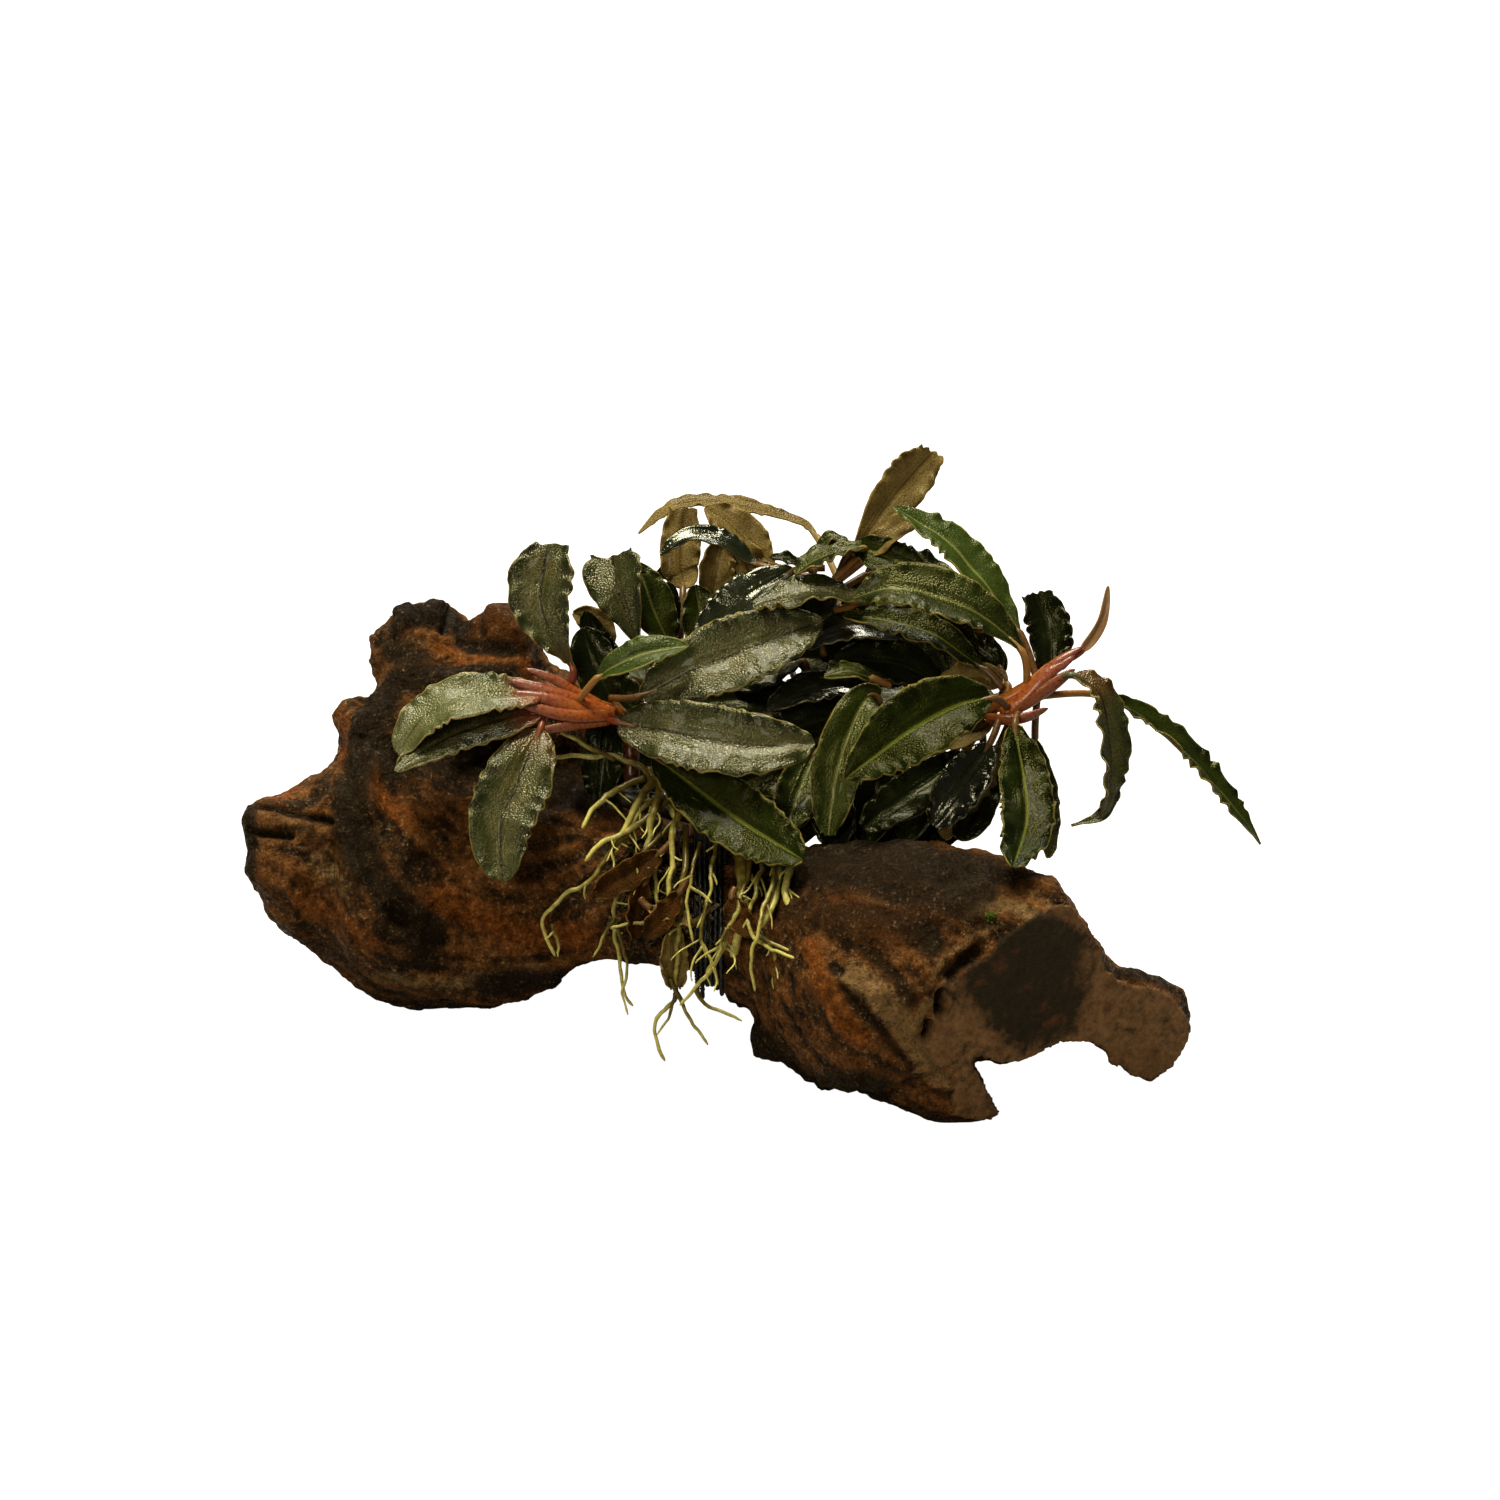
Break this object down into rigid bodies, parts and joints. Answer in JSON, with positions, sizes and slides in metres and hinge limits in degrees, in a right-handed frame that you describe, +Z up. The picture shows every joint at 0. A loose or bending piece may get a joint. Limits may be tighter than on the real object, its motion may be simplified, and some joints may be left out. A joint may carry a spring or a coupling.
{
  "type": "bucephalandra on driftwood",
  "caption": "Rosettes of wavy-edged water plant leaves on creeping stems, with hanging roots, tied by thread to a saddle-shaped branch of dark driftwood.",
  "frame": {"origin": "centre of the footprint on the surface that the driftwood stands on", "axes": "+X along the length of the driftwood, from the broad left lobe to the saw-cut right end; -Y towards the side from which the roots show; +Z up"},
  "size_m": [0.2041, 0.1161, 0.1062],
  "materials": {
    "driftwood": "wet, dark brown with rust-brown grain and black bark",
    "thread": "black twisted thread",
    "old_stem": "dull brown-green old stem",
    "young_stem": "smooth pink-red stem",
    "root": "smooth yellow-green with cream tips",
    "leaf": "dark olive green, silvery sheen, pebbled and wet"
  },
  "bodies": {
    "root": {"driftwood_left_limb": "driftwood", "driftwood_upper_knob": "driftwood", "driftwood_right_limb": "driftwood", "driftwood_right_stub": "driftwood", "tying_thread": "thread", "rhizome_main": "old_stem", "rhizome_left": "young_stem", "rhizome_middle": "old_stem", "rhizome_top": "old_stem", "rhizome_right": "young_stem", "root_1": "root", "root_2": "root", "root_3": "root", "root_4": "root", "root_5": "root", "root_6": "root", "leaf_left_1": "leaf", "leaf_left_2": "leaf", "leaf_left_3": "leaf", "leaf_left_4": "leaf", "leaf_left_5": "leaf", "leaf_left_6": "leaf", "leaf_left_7": "leaf", "leaf_left_8": "leaf", "leaf_back_1": "leaf", "leaf_back_2": "leaf", "leaf_back_3": "leaf", "leaf_back_4": "leaf", "leaf_back_5": "leaf", "leaf_back_6": "leaf", "leaf_back_7": "leaf", "leaf_back_8": "leaf", "leaf_top_1": "leaf", "leaf_top_2": "leaf", "leaf_top_3": "leaf", "leaf_top_4": "leaf", "leaf_top_5": "leaf", "leaf_right_1": "leaf", "leaf_right_2": "leaf", "leaf_right_3": "leaf", "leaf_right_4": "leaf", "leaf_right_5": "leaf", "leaf_right_6": "leaf", "leaf_right_7": "leaf", "leaf_right_8": "leaf", "leaf_right_9": "leaf", "leaf_right_10": "leaf", "leaf_right_11": "leaf", "leaf_right_12": "leaf", "leaf_right_13": "leaf", "leaf_right_14": "leaf", "leaf_middle_1": "leaf", "leaf_middle_2": "leaf", "leaf_middle_3": "leaf", "leaf_middle_4": "leaf", "leaf_middle_5": "leaf", "leaf_middle_6": "leaf", "leaf_rear_1": "leaf", "leaf_rear_2": "leaf", "leaf_rear_3": "leaf"}
  },
  "joints": []
}
